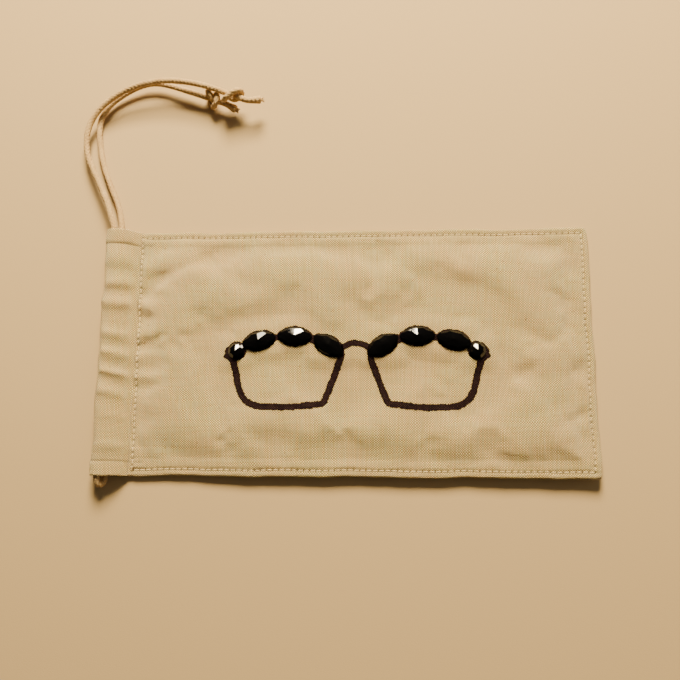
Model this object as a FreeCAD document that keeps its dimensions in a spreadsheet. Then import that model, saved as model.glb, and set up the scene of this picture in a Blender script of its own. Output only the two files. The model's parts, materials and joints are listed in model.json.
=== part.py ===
"""Soft drawstring pouch for a pair of glasses, lying flat and empty.

+X runs from the mouth to the closed end, +Y to the side where the cord comes out and +Z up.
The origin is the centre of the underside, which rests on z = 0.  All sizes are millimetres.
"""
import FreeCAD, Part
import math
import os

import Sketcher
from FreeCAD import Placement, Rotation, Vector

DIMENSIONS = {
    "pouch_length": 180,
    "pouch_width": 92,
    "cloth": 0.5,  # one layer of canvas
    "allowance": 5.5,  # seam allowance turned in along three sides
    "layer_gap": 0.1,  # air between the front cloth and the back cloth
    "crown_rise": 1.5,  # how far the middle of the front puffs up above its rim
    "crown_inset": 8,  # flat rim around the crown
    "crown_slope": 12,
    "casing_depth": 13,  # mouth edge to the row of stitches that closes a casing
    "shoulder_inset": 5.2,  # mouth edge to where a casing starts to thin
    "channel_share": 0.9,  # how far the cord's channel reaches from shoulder to stitches
    "mouth_rounding": 1.5,
    "hem_turn": 1.5,  # turned edge of the hem beyond its row of stitches
    "hinge_gap": 0.1,
    "hinge_to_stitch": 0.5,
    "thread": 0.3,
    "thread_room": 0.05,
    "topstitch_inset": 2.4,
    "seam_inset": 0.9,  # hidden seam that joins the two cloths
    "row_end": 1,  # bare cloth at each end of a casing's row of stitches
    "cord_diameter": 2.2,
    "cord_room": 0.15,
    "cord_gap": 0.3,  # between two lengths of cord that move apart
    "front_cord_inset": 2.6,  # mouth edge to the cord's centre line
    "back_cord_inset": 4.2,
    "exit_length": 3.5,  # side edge to the point where a free cord end bends
    "bend_room": 1.7,
    "front_heading": 112,  # direction of a free cord end in degrees from +X
    "front_straight": 22,
    "front_far_radius": 24,
    "front_rise": 3.6,
    "back_heading": 108,
    "back_straight": 25,
    "back_far_radius": 17.5,
    "back_rise": 2.4,
    "rise_length": 55,  # distance along a cord end in which it rises
    "spine_spacing": 6,  # between points of a free end's centre line
    "near_radius": 47,
    "near_turn": 16,
    "knot_heading": -22,
    "knot_straight": 22,  # last straight before the knot
    "knot_diameter": 6.2,
    "tail_length": 11,
    "stone_length": 12.8,
    "stone_width": 6.6,
    "stone_height": 2.4,
    "round_stone": 6,
    "girdle": 0.5,
    "stone_facets": 8,  # facets in each of a stone's two tiers
    "lower_facet_slope": 48,
    "upper_facet_slope": 22,
    "glue": 0.15,
    "glue_share": 0.5,  # size of a glue pad as a share of its stone
    "ink_width": 2.3,
    "ink_film": 0.04,
    "motif_centre": 4.6,  # middle of the drawn spectacles along X
    "motif_height": -21.4,  # lowest line of the drawing along Y
    # Places in the right half of the drawing; x is counted from the drawing's middle.
    "middle_stone_x": 22.3,
    "middle_stone_y": 4.8,
    "middle_stone_tilt": 2,
    "inner_stone_tilt": 31,
    "outer_stone_tilt": -14,
    "stone_step": 0.52,  # share of each stone's length between the centres of neighbours
    "corner_stone_out": 2,  # from the outer stone's tip to the corner stone's centre
    "corner_stone_drop": 2.3,
    "rim_top_x": 5.8,  # inner end of a rim's line, under the inner stone
    "rim_top_y": -4.2,
    "rim_inner_corner_x": 11.5,
    "rim_inner_corner_rise": 0.6,
    "rim_outer_corner_x": 40.4,
    "rim_end_x": 44.4,  # outer end of a rim's line, under the corner stone
    "rim_end_drop": 3.1,
    "rim_inner_radius": 1.5,
    "rim_outer_radius": 8,
    "bridge_half_span": 4.5,
    "bridge_foot": 0.5,
    "bridge_top": 1.9,
}

# Corners of the small pointed patch of ink outside a corner stone, from the stone's centre.
INK_TIP = ((2.2, 1.2), (4.7, -2.0), (0.6, -3.6))

doc = FreeCAD.newDocument("glasses_pouch")
sheet = doc.addObject("Spreadsheet::Sheet", "dims")
for row, (alias, value) in enumerate(DIMENSIONS.items(), start=1):
    sheet.set(f"A{row}", alias)
    sheet.set(f"B{row}", str(value))
    sheet.setAlias(f"B{row}", alias)
doc.recompute()


def size(expression):
    """Value of an expression in the sheet's cells."""
    return float(sheet.evalExpression(expression))


# Heights and places that follow from the driving dimensions, as expressions.
MOUTH = "(-dims.pouch_length / 2)"
CLOSED_END = "(dims.pouch_length / 2)"
SIDE = "(dims.pouch_width / 2)"
FRONT_FLOOR = "(2 * dims.cloth + dims.layer_gap)"
FRONT_TOP = "(4 * dims.cloth + dims.layer_gap)"
CROWN_TOP = f"({FRONT_TOP} + dims.crown_rise)"
CASING_HEIGHT = "(dims.cord_diameter + 2 * dims.cord_room + 2 * dims.cloth)"
STITCH_X = f"({MOUTH} + dims.casing_depth)"
HINGE_X = f"({STITCH_X} - dims.hinge_to_stitch)"
BACK_CORD_Z = f"({CASING_HEIGHT} / 2)"
FRONT_CORD_Z = f"(1.5 * {CASING_HEIGHT} + dims.layer_gap)"
BACK_CORD_X = f"({MOUTH} + dims.back_cord_inset)"
FRONT_CORD_X = f"({MOUTH} + dims.front_cord_inset)"
SHOULDER_X = f"({MOUTH} + dims.shoulder_inset)"
BEND_Y = f"({SIDE} + dims.exit_length)"

parts = []


def keep(feature, label):
    """Names a finished sub-part and lists it for export."""
    feature.Label = label
    parts.append(feature)
    return feature


def place(feature, x, y, z):
    """Binds a feature's position to the sheet."""
    for axis, expression in zip("xyz", (x, y, z)):
        feature.setExpression(f"Placement.Base.{axis}", expression)


def box(name, low, high):
    """Box between two corners given as expressions."""
    feature = doc.addObject("Part::Box", name)
    for side, lower, upper in zip(("Length", "Width", "Height"), low, high):
        feature.setExpression(side, f"({upper}) - ({lower})")
    place(feature, *low)
    return feature


def crown(name, base_z, top_z):
    """Frustum whose sloped sides carry the front cloth from its rim up to its raised middle."""
    feature = doc.addObject("Part::Wedge", name)
    spans = {
        "X": (f"{STITCH_X} + dims.crown_inset", f"{CLOSED_END} - dims.crown_inset"),
        "Z": (f"-{SIDE} + dims.crown_inset", f"{SIDE} - dims.crown_inset"),
    }
    for axis, (low, high) in spans.items():
        feature.setExpression(f"{axis}min", low)
        feature.setExpression(f"{axis}max", high)
        feature.setExpression(f"{axis}2min", f"{low} + dims.crown_slope")
        feature.setExpression(f"{axis}2max", f"{high} - dims.crown_slope")
    feature.setExpression("Ymin", base_z)
    feature.setExpression("Ymax", top_z)
    feature.Placement = Placement(Vector(), Rotation(Vector(1, 0, 0), 90))
    return feature


def fuse(name, *features):
    feature = doc.addObject("Part::MultiFuse", name)
    feature.Shapes = list(features)
    return feature


def cut(name, base, tool):
    feature = doc.addObject("Part::Cut", name)
    feature.Base = base
    feature.Tool = tool
    return feature


def origin_plane(body, role):
    return next(item for item in body.Origin.OriginFeatures if item.Role == role)


def polygon_body(name, points, length):
    """Body padded along Y, centred on the pouch, from a polygon of (x, z) expressions."""
    body = doc.addObject("PartDesign::Body", name)
    sketch = body.newObject("Sketcher::SketchObject", f"{name}_profile")
    sketch.AttachmentSupport = (origin_plane(body, "XZ_Plane"), [""])
    sketch.MapMode = "FlatFace"
    corners = [Vector(size(x), size(z), 0) for x, z in points]
    for index, corner in enumerate(corners):
        following = corners[(index + 1) % len(corners)]
        sketch.addGeometry(Part.LineSegment(corner, following), False)
    for index, (x, z) in enumerate(points):
        following = (index + 1) % len(points)
        sketch.addConstraint(Sketcher.Constraint("Coincident", index, 2, following, 1))
        for kind, expression in (("DistanceX", x), ("DistanceY", z)):
            constraint = Sketcher.Constraint(kind, -1, 1, index, 1, size(expression))
            number = sketch.addConstraint(constraint)
            sketch.setExpression(f"Constraints[{number}]", expression)
    pad = body.newObject("PartDesign::Pad", f"{name}_pad")
    pad.Profile = sketch
    pad.setExpression("Length", length)
    pad.Midplane = True
    doc.recompute()
    return body


def round_mouth(body):
    """Rounds the two long edges where the hem folds over at the mouth."""
    pad = body.Tip
    mouth = size(MOUTH)
    edges = []
    for number, edge in enumerate(pad.Shape.Edges, start=1):
        xs = [vertex.X for vertex in edge.Vertexes]
        along_y = edge.BoundBox.YLength > size("dims.casing_depth")
        if along_y and all(math.isclose(x, mouth, abs_tol=1e-6) for x in xs):
            edges.append(f"Edge{number}")
    fillet = body.newObject("PartDesign::Fillet", f"{body.Name}_fold")
    fillet.Base = (pad, edges)
    fillet.setExpression("Radius", "dims.mouth_rounding")
    doc.recompute()


def between(first, second, share):
    return f"({first} + ({second} - {first}) * {share})"


def casing(name, floor, hem):
    """Hem folded back over the cord: a tube that thins from the mouth to its row of stitches.

    floor and hem are the heights of its underside at the mouth and at the stitches.
    """
    top = f"({floor} + {CASING_HEIGHT})"
    hem_top = f"({hem} + 2 * dims.cloth)"
    outside = [
        (MOUTH, floor),
        (SHOULDER_X, floor),
        (HINGE_X, hem),
        (HINGE_X, hem_top),
        (SHOULDER_X, top),
        (MOUTH, top),
    ]
    share = "dims.channel_share"
    channel_end = between(SHOULDER_X, HINGE_X, share)
    low = f"({floor} + dims.cloth)"
    high = f"({top} - dims.cloth)"
    meet = f"({hem} + dims.cloth)"
    inside = [
        (f"{MOUTH} + dims.cloth", low),
        (SHOULDER_X, low),
        (channel_end, between(low, meet, share)),
        (channel_end, between(high, meet, share)),
        (SHOULDER_X, high),
        (f"{MOUTH} + dims.cloth", high),
    ]
    shell = polygon_body(f"{name}_shell", outside, "dims.pouch_width")
    round_mouth(shell)
    channel = polygon_body(f"{name}_channel", inside, "2 * dims.pouch_width")
    return cut(name, shell, channel)


def edge_row(name, inset, half_width, low, high):
    """Bar that runs along the two sides and the closed end at a distance from the edge."""
    start = f"{STITCH_X} + dims.hem_turn"
    end = f"({CLOSED_END} - {inset})"
    side = f"({SIDE} - {inset})"
    far = box(
        f"{name}_far_side",
        (start, f"-{side} - {half_width}", low),
        (f"{end} + {half_width}", f"-{side} + {half_width}", high),
    )
    near = box(
        f"{name}_near_side",
        (start, f"{side} - {half_width}", low),
        (f"{end} + {half_width}", f"{side} + {half_width}", high),
    )
    closed = box(
        f"{name}_closed_end",
        (f"{end} - {half_width}", f"-{side}", low),
        (f"{end} + {half_width}", side, high),
    )
    return fuse(name, far, near, closed)


def casing_row(name, half_width, low, high):
    """Bar that runs across the pouch along a casing's row of stitches."""
    side = f"({SIDE} - dims.row_end)"
    return box(
        name,
        (f"{STITCH_X} - {half_width}", f"-{side}", low),
        (f"{STITCH_X} + {half_width}", side, high),
    )


THREAD_HALF = "(dims.thread / 2)"
GROOVE_HALF = "(dims.thread / 2 + dims.thread_room)"


def thread_in_groove(name, layer, row, *row_start):
    """Keeps a thread sunk into the cloth and returns the groove it lies in.

    layer is the pair of heights that the thread lies between.
    """
    keep(row(f"{name}_line", *row_start, THREAD_HALF, *layer), name)
    return row(f"{name}_groove", *row_start, GROOVE_HALF, *layer)


def frame_layer(name, low, high):
    """Turned-in allowances of one cloth: a layer along the two sides and the closed end."""
    outer = box(
        f"{name}_outer", (f"{HINGE_X} + dims.hinge_gap", f"-{SIDE}", low), (CLOSED_END, SIDE, high)
    )
    inner = box(
        f"{name}_inner",
        (f"{STITCH_X} + dims.hem_turn", f"-{SIDE} + dims.allowance", low),
        (f"{CLOSED_END} - dims.allowance", f"{SIDE} - dims.allowance", high),
    )
    return cut(name, outer, inner)


def back_panel():
    hem_casing = casing("back_casing", "0", "0")
    sheet_layer = box("back_sheet", (HINGE_X, f"-{SIDE}", "0"), (CLOSED_END, SIDE, "dims.cloth"))
    turned = frame_layer("back_allowance", "dims.cloth", "2 * dims.cloth")
    bridge = box(
        "back_hem_bridge",
        (HINGE_X, f"-{SIDE}", "dims.cloth"),
        (f"{HINGE_X} + dims.hinge_gap", SIDE, "2 * dims.cloth"),
    )
    underside = ("0", "dims.thread")
    inside = ("2 * dims.cloth - dims.thread", "2 * dims.cloth")
    grooves = fuse(
        "back_grooves",
        thread_in_groove("edge_bobbin_thread", underside, edge_row, "dims.topstitch_inset"),
        thread_in_groove("joining_seam_thread", inside, edge_row, "dims.seam_inset"),
        thread_in_groove("back_casing_needle_thread", underside, casing_row),
        thread_in_groove("back_casing_bobbin_thread", inside, casing_row),
    )
    cloth = fuse("back_cloth", hem_casing, sheet_layer, turned, bridge)
    keep(cut("back_panel_solid", cloth, grooves), "back_panel")


def front_panel():
    start = f"{HINGE_X} + dims.hinge_gap"
    fold = f"({FRONT_FLOOR} + dims.cloth)"
    rim = box("front_sheet", (start, f"-{SIDE}", fold), (CLOSED_END, SIDE, FRONT_TOP))
    turned = frame_layer("front_allowance", FRONT_FLOOR, fold)
    outside = crown("front_crown", FRONT_TOP, CROWN_TOP)
    inside = crown("front_hollow", fold, f"{CROWN_TOP} - dims.cloth")
    top = (f"{FRONT_TOP} - dims.thread", FRONT_TOP)
    underside = (FRONT_FLOOR, f"{FRONT_FLOOR} + dims.thread")
    spaces = fuse(
        "front_spaces",
        inside,
        thread_in_groove("edge_needle_thread", top, edge_row, "dims.topstitch_inset"),
        thread_in_groove("front_casing_needle_thread", top, casing_row),
        thread_in_groove("front_casing_bobbin_thread", underside, casing_row),
    )
    cloth = fuse("front_cloth", rim, turned, outside)
    keep(cut("front_panel_solid", cloth, spaces), "front_panel")


def front_casing():
    floor = f"({CASING_HEIGHT} + dims.layer_gap)"
    keep(casing("front_casing_tube", floor, FRONT_FLOOR), "front_casing")


CORD_RADIUS = "(dims.cord_diameter / 2)"


def cord_length(name, x, z, start, end):
    """Straight length of cord along Y."""
    cylinder = doc.addObject("Part::Cylinder", name)
    cylinder.setExpression("Radius", CORD_RADIUS)
    cylinder.setExpression("Height", f"({end}) - ({start})")
    cylinder.Placement = Placement(Vector(), Rotation(Vector(1, 0, 0), -90))
    place(cylinder, x, start, z)
    return cylinder


def ball(name, x, y, z, radius):
    sphere = doc.addObject("Part::Sphere", name)
    sphere.setExpression("Radius", radius)
    place(sphere, x, y, z)
    return sphere


def cord_to_bend(name, x, z, start):
    """Length of cord along Y with a rounded end next to the point where the free end bends."""
    end = f"({BEND_Y} - dims.bend_room)"
    return fuse(
        name,
        cord_length(f"{name}_line", x, z, start, end),
        ball(f"{name}_tip", x, end, z, CORD_RADIUS),
    )


def cord_turn():
    """Half ring outside the far side where the cord passes from one casing to the other."""
    front = Vector(size(FRONT_CORD_X), 0, size(FRONT_CORD_Z))
    back = Vector(size(BACK_CORD_X), 0, size(BACK_CORD_Z))
    across = (back - front).normalize()
    outward = Vector(0, -1, 0)
    ring = doc.addObject("Part::Torus", "cord_turn_ring")
    step_x = f"({BACK_CORD_X} - {FRONT_CORD_X})"
    step_z = f"({BACK_CORD_Z} - {FRONT_CORD_Z})"
    ring.setExpression("Radius1", f"sqrt({step_x} ^ 2 + {step_z} ^ 2) / 2")
    ring.setExpression("Radius2", CORD_RADIUS)
    ring.Angle3 = 180
    ring.Placement = Placement(Vector(), Rotation(across, outward, across.cross(outward)))
    place(
        ring,
        f"({FRONT_CORD_X} + {BACK_CORD_X}) / 2",
        f"-{SIDE} - 2 * dims.cord_gap",
        f"({FRONT_CORD_Z} + {BACK_CORD_Z}) / 2",
    )
    keep(ring, "drawstring_turn")


def heading_vector(degrees):
    return Vector(math.cos(math.radians(degrees)), math.sin(math.radians(degrees)), 0)


def clockwise_arc(start, heading, radius, turn):
    """Arc that leaves start along a heading and turns clockwise; angles are in degrees."""
    centre = start + heading_vector(heading - 90) * radius
    middle, end = (
        centre + heading_vector(heading + 90 - turn * share) * radius for share in (0.5, 1)
    )
    return Part.Arc(start, middle, end).toShape(), end


def cord_plan(start, heading, straight, far_radius):
    """Level centre line of a free cord end: straight, wide bend, tight bend, straight, tail."""
    points = [start, start + heading_vector(heading) * straight]
    near_turn = size("dims.near_turn")
    final = size("dims.knot_heading")
    near, point = clockwise_arc(points[1], heading, size("dims.near_radius"), near_turn)
    heading -= near_turn
    far, point = clockwise_arc(point, heading, far_radius, heading - final)
    end = point + heading_vector(final) * (size("dims.knot_straight") + size("dims.tail_length"))
    return Part.Wire([Part.makeLine(*points), near, far, Part.makeLine(point, end)])


def smooth(share):
    share = min(1, max(0, share))
    return share * share * (3 - 2 * share)


def cord_end(label, x, z):
    """Free end of the cord: it curves round in plan, rises, and carries a knot before its tail."""
    which = label.split("_")[1]
    heading = size(f"dims.{which}_heading")
    radius = size(CORD_RADIUS)
    bend = Vector(size(x), size(BEND_Y), size(z))
    start = bend + heading_vector(heading) * size("dims.bend_room")
    straight = size(f"dims.{which}_straight")
    plan = cord_plan(start, heading, straight, size(f"dims.{which}_far_radius"))
    rise = size(f"dims.{which}_rise")
    spacing = size("dims.spine_spacing")
    count = round(plan.Length / spacing)
    points = plan.discretize(Number=count + 1)
    if (points[0] - start).Length > spacing / 2:
        points.reverse()
    for index, point in enumerate(points):
        distance = index * plan.Length / count
        point.z += rise * smooth(distance / size("dims.rise_length"))
    spine = Part.BSplineCurve()
    spine.interpolate(points)
    first = spine.tangent(spine.FirstParameter)[0]
    profile = Part.Wire(Part.makeCircle(radius, points[0], first))
    sweep = Part.BRepOffsetAPI.MakePipeShell(Part.Wire(spine.toShape()))
    sweep.setBiNormalMode(Vector(0, 0, 1))
    sweep.add(profile)
    sweep.build()
    sweep.makeSolid()
    tail = heading_vector(size("dims.knot_heading")) * size("dims.tail_length")
    knot = Part.makeSphere(size("dims.knot_diameter") / 2, points[-1] - tail)
    feature = doc.addObject("Part::Feature", f"{label}_solid")
    feature.Shape = sweep.shape().fuse(knot)
    keep(feature, label)


def drawstring():
    run_end = f"{SIDE} + dims.cord_gap"
    run_start = f"-{SIDE} - dims.cord_gap"
    front_run = cord_length("front_run", FRONT_CORD_X, FRONT_CORD_Z, run_start, run_end)
    keep(front_run, "drawstring_front_run")
    exit_start = f"{SIDE} + 2 * dims.cord_gap"
    front_exit = cord_to_bend("front_exit", FRONT_CORD_X, FRONT_CORD_Z, exit_start)
    keep(front_exit, "drawstring_front_exit")
    back_run = cord_to_bend("back_run", BACK_CORD_X, BACK_CORD_Z, run_start)
    keep(back_run, "drawstring_back_run")
    cord_turn()
    cord_end("drawstring_front_end", FRONT_CORD_X, FRONT_CORD_Z)
    cord_end("drawstring_back_end", BACK_CORD_X, BACK_CORD_Z)


def outline(length, width, height):
    """Prism on a pointed oval, or on a circle where length and width agree."""
    bow = (length**2 + width**2) / (4 * width)
    offset = bow - width / 2
    if offset < 1e-6:
        return Part.makeCylinder(width / 2, height)
    upper = Part.makeCylinder(bow, height, Vector(0, -offset, 0))
    lower = Part.makeCylinder(bow, height, Vector(0, offset, 0))
    return upper.common(lower)


def above_plane(normal, distance, reach):
    """Large block whose lower face is the plane normal . point = distance."""
    block = Part.makeBox(2 * reach, 2 * reach, reach, Vector(-reach, -reach, 0))
    unit = Vector(normal).normalize()
    block.Placement = Placement(unit * (distance / normal.Length), Rotation(Vector(0, 0, 1), unit))
    return block


def faceted_stone(length, width):
    """Stone with a flat base and two tiers of facets; the upper ones meet at its peak."""
    height = size("dims.stone_height")
    girdle = size("dims.girdle")
    stretch = length / width
    stone = outline(length, width, height)
    facets = round(size("dims.stone_facets"))
    step = 2 * math.pi / facets
    for number in range(facets):
        for slope, phase, upper in (
            (size("dims.lower_facet_slope"), 0, False),
            (size("dims.upper_facet_slope"), 0.5, True),
        ):
            angle = (number + phase) * step
            flat = math.sin(math.radians(slope))
            up = math.cos(math.radians(slope))
            normal = Vector(flat * math.cos(angle) / stretch, flat * math.sin(angle), up)
            distance = up * height if upper else flat * width / 2 + up * girdle
            stone = stone.cut(above_plane(normal, distance, 2 * length))
    return stone


def motif_places():
    """Stones along the top of the right-hand rim, relative to the middle of the drawing."""
    length = size("dims.stone_length")
    step = size("dims.stone_step")
    middle = Vector(size("dims.middle_stone_x"), size("dims.middle_stone_y"), 0)
    along = Vector(length, 0, 0)
    inner_tilt = size("dims.inner_stone_tilt")
    inner = middle - (along + heading_vector(inner_tilt) * length) * step
    outer_tilt = size("dims.outer_stone_tilt")
    outer_reach = heading_vector(outer_tilt) * length
    outer = middle + (along + outer_reach) * step
    aside = Vector(size("dims.corner_stone_out"), -size("dims.corner_stone_drop"), 0)
    return [
        ("inner", inner, inner_tilt),
        ("middle", middle, size("dims.middle_stone_tilt")),
        ("outer", outer, outer_tilt),
        ("corner", outer + outer_reach / 2 + aside, 0),
    ]


def stones():
    long_stone = faceted_stone(size("dims.stone_length"), size("dims.stone_width"))
    round_stone = faceted_stone(size("dims.round_stone"), size("dims.round_stone"))
    share = size("dims.glue_share")
    length = size("dims.stone_length") * share
    width = size("dims.stone_width") * share
    round_size = size("dims.round_stone") * share
    glue = size("dims.glue")
    long_pad = outline(length, width, glue)
    round_pad = outline(round_size, round_size, glue)
    pads = []
    for side, mirror in (("left", -1), ("right", 1)):
        for name, centre, tilt in motif_places():
            spot = Vector(size("dims.motif_centre") + mirror * centre.x, centre.y, size(CROWN_TOP))
            turn = Rotation(Vector(0, 0, 1), mirror * tilt)
            pad = (round_pad if name == "corner" else long_pad).copy()
            pad.Placement = Placement(spot, turn)
            pads.append(pad)
            feature = doc.addObject("Part::Feature", f"{side}_{name}_gem")
            feature.Shape = round_stone if name == "corner" else long_stone
            feature.Placement = Placement(spot + Vector(0, 0, glue), turn)
            keep(feature, f"{side}_{name}_stone")
    feature = doc.addObject("Part::Feature", "glue_pads")
    feature.Shape = Part.makeCompound(pads)
    keep(feature, "stone_glue")


def rounded_path(points, radii):
    """Open wire of straight lines whose inner corners are rounded."""
    edges = []
    last = points[0]
    for before, corner, after, radius in zip(points, points[1:], points[2:], radii):
        into = (corner - before).normalize()
        out = (after - corner).normalize()
        half = into.getAngle(out) / 2
        reach = radius * math.tan(half)
        first = corner - into * reach
        second = corner + out * reach
        bisector = (out - into).normalize()
        middle = corner + bisector * (radius / math.cos(half) - radius)
        edges.append(Part.makeLine(last, first))
        edges.append(Part.Arc(first, middle, second).toShape())
        last = second
    edges.append(Part.makeLine(last, points[-1]))
    return Part.Wire(edges)


def ink_film(label, wire, *patches):
    """Thin film of ink: a stroke of even width along a wire, joined with filled patches."""
    film = Vector(0, 0, size("dims.ink_film"))
    stroke = wire.makeOffset2D(size("dims.ink_width") / 2, 0, True, False)
    if stroke.ShapeType != "Face":
        stroke = Part.Face(stroke.Wires[0])
    solid = stroke.extrude(film)
    for patch in patches:
        face = Part.Face(Part.makePolygon([*patch, patch[0]]))
        solid = solid.fuse(face.extrude(film))
    feature = doc.addObject("Part::Feature", f"{label}_film")
    feature.Shape = solid.removeSplitter()
    feature.Placement = Placement(Vector(size("dims.motif_centre"), 0, size(CROWN_TOP)), Rotation())
    keep(feature, label)


def ink():
    low = size("dims.motif_height")
    corner = motif_places()[-1][1]
    corners = [
        (size("dims.rim_top_x"), size("dims.rim_top_y")),
        (size("dims.rim_inner_corner_x"), low + size("dims.rim_inner_corner_rise")),
        (size("dims.rim_outer_corner_x"), low),
        (size("dims.rim_end_x"), corner.y - size("dims.rim_end_drop")),
    ]
    radii = (size("dims.rim_inner_radius"), size("dims.rim_outer_radius"))
    for side, mirror in (("left", -1), ("right", 1)):
        rim = [Vector(mirror * x, y, 0) for x, y in corners]
        tip = [Vector(mirror * (corner.x + x), corner.y + y, 0) for x, y in INK_TIP]
        ink_film(f"{side}_rim_ink", rounded_path(rim, radii), tip)
    half = size("dims.bridge_half_span")
    foot = size("dims.bridge_foot")
    top = Vector(0, size("dims.bridge_top"), 0)
    arch = Part.Arc(Vector(-half, foot, 0), top, Vector(half, foot, 0))
    ink_film("bridge_ink", Part.Wire(arch.toShape()))


back_panel()
front_panel()
front_casing()
drawstring()
stones()
ink()
doc.recompute()

for item in doc.Objects:
    if "Invalid" in item.State or "Error" in item.State:
        raise RuntimeError(f"{item.Name} failed: {item.State}")
os.makedirs("parts", exist_ok=True)
for part in parts:
    if part.Shape.isNull() or not part.Shape.isValid() or not part.Shape.Solids:
        raise RuntimeError(f"{part.Label} has no valid solid")
    part.Shape.exportStep(f"parts/{part.Label}.step")
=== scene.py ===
"""Soft drawstring glasses pouch: cloth, stitches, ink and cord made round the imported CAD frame.

Shapes are worked out in millimetres, as numpy arrays, and turned to metres when a mesh is made.
The frame's own stones and glue are shown as they are, with new materials.
"""
import json
import math

import bpy
import numpy as np
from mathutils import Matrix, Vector


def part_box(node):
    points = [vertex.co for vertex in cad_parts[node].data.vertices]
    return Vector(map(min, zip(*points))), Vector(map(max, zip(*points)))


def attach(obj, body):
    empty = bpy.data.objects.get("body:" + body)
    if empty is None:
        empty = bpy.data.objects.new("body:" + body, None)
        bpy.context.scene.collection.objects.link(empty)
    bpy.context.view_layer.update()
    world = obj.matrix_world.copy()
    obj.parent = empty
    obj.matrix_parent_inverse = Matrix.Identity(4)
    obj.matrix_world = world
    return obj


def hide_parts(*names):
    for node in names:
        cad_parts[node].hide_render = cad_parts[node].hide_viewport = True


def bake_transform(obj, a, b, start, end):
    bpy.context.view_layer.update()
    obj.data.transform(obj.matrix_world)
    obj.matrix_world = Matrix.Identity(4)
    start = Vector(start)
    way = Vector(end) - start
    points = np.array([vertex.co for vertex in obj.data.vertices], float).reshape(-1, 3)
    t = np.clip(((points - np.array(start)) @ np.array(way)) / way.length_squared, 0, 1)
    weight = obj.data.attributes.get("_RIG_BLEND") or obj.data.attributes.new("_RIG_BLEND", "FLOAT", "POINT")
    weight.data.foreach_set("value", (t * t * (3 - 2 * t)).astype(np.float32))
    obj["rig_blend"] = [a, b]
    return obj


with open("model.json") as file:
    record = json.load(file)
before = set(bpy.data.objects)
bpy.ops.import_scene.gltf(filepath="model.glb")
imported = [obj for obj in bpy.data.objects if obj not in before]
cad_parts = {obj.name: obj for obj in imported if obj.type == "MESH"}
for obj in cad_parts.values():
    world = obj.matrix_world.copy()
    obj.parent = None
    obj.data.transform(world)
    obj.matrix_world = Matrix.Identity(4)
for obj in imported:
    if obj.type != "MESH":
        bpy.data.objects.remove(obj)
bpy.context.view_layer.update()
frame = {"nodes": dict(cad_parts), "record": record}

MM = 0.001
random = np.random.default_rng(7)


# ---------------------------------------------------------------- places taken from the frame

def box_mm(node):
    low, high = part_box(node)
    return np.array(low) / MM, np.array(high) / MM


def joint(name):
    return next(item for item in frame["record"]["behaviour"]["joints"] if item["name"] == name)


BACK_LOW, BACK_HIGH = box_mm("back_panel")
FRONT_LOW, FRONT_HIGH = box_mm("front_panel")
EDGE_LOW, EDGE_HIGH = box_mm("edge_needle_thread")
ROW_LOW, ROW_HIGH = box_mm("front_casing_needle_thread")
SEAM_LOW, SEAM_HIGH = box_mm("back_casing_bobbin_thread")

MOUTH = BACK_LOW[0]
CLOSED_END = BACK_HIGH[0]
SIDE = BACK_HIGH[1]
HINGE_X = joint("mouth_open")["pos_m"][0] / MM
STITCH_X = (ROW_LOW[0] + ROW_HIGH[0]) / 2
RIM_TOP = EDGE_HIGH[2]
CROWN_TOP = FRONT_HIGH[2]
LIP_FLOOR = FRONT_LOW[2]
BACK_TOP = SEAM_HIGH[2]
MID_HEIGHT = (LIP_FLOOR + BACK_TOP) / 2
CLOTH = BACK_TOP / 2
# Half the thickness of the bar that a row of stitches is in the CAD.
HALF_BAR = 0.15
TOPSTITCH_INSET = SIDE - (EDGE_HIGH[1] - HALF_BAR)
# How far the cloth is turned in. Its edge shows through the front cloth as a step.
ALLOWANCE = 5.5
PULL = joint("drawstring_pull")["range_m"][1] / MM
STITCH_PITCH = 2.2


def smooth(value, low, high):
    """Smooth step from 0 at low to 1 at high."""
    share = np.clip((value - low) / (high - low), 0, 1)
    return share * share * (3 - 2 * share)


def bell(value, width):
    """1 at zero, falling away on both sides over a width."""
    return np.exp(-(value / width) ** 2)


def unit(vectors):
    return vectors / np.linalg.norm(vectors, axis=-1, keepdims=True)


def travelled(line):
    """Distance of each point of a line from its start, along the line."""
    steps = np.linalg.norm(np.diff(line, axis=0), axis=1)
    return np.concatenate([[0], np.cumsum(steps)])


# ---------------------------------------------------------------- mesh helpers

def make_piece(name, points, faces):
    """Object from points in millimetres and, for each face, a list of its points' numbers."""
    mesh = bpy.data.meshes.new(name)
    mesh.from_pydata((points.reshape(-1, 3) * MM).tolist(), [], faces)
    mesh.validate()
    mesh.update()
    mesh.shade_smooth()
    piece = bpy.data.objects.new(name, mesh)
    bpy.context.scene.collection.objects.link(piece)
    return piece


def grid_faces(rows, columns, close_columns=False):
    """Quads over a grid whose points are listed row by row."""
    number = np.arange(rows * columns).reshape(rows, columns)
    if close_columns:
        number = np.hstack([number, number[:, :1]])
    corners = (number[:-1, :-1], number[1:, :-1], number[1:, 1:], number[:-1, 1:])
    return np.stack(corners, axis=-1).reshape(-1, 4)


def set_attribute(piece, name, values, kind="FLOAT"):
    """Per-vertex attribute, as plain numbers or as vectors."""
    attributes = piece.data.attributes
    attribute = attributes.get(name) or attributes.new(name, kind, "POINT")
    key = "value" if kind == "FLOAT" else "vector"
    attribute.data.foreach_set(key, np.asarray(values, np.float32).ravel())


def set_flat_place(piece, x, y):
    """Where each point is on the cloth laid out flat, which is what the weave follows."""
    set_attribute(piece, "rest_place", np.stack([x, y, 0 * x], axis=-1), "FLOAT_VECTOR")


def coordinates(piece):
    flat = np.empty(len(piece.data.vertices) * 3)
    piece.data.vertices.foreach_get("co", flat)
    return flat.reshape(-1, 3) / MM


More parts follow.
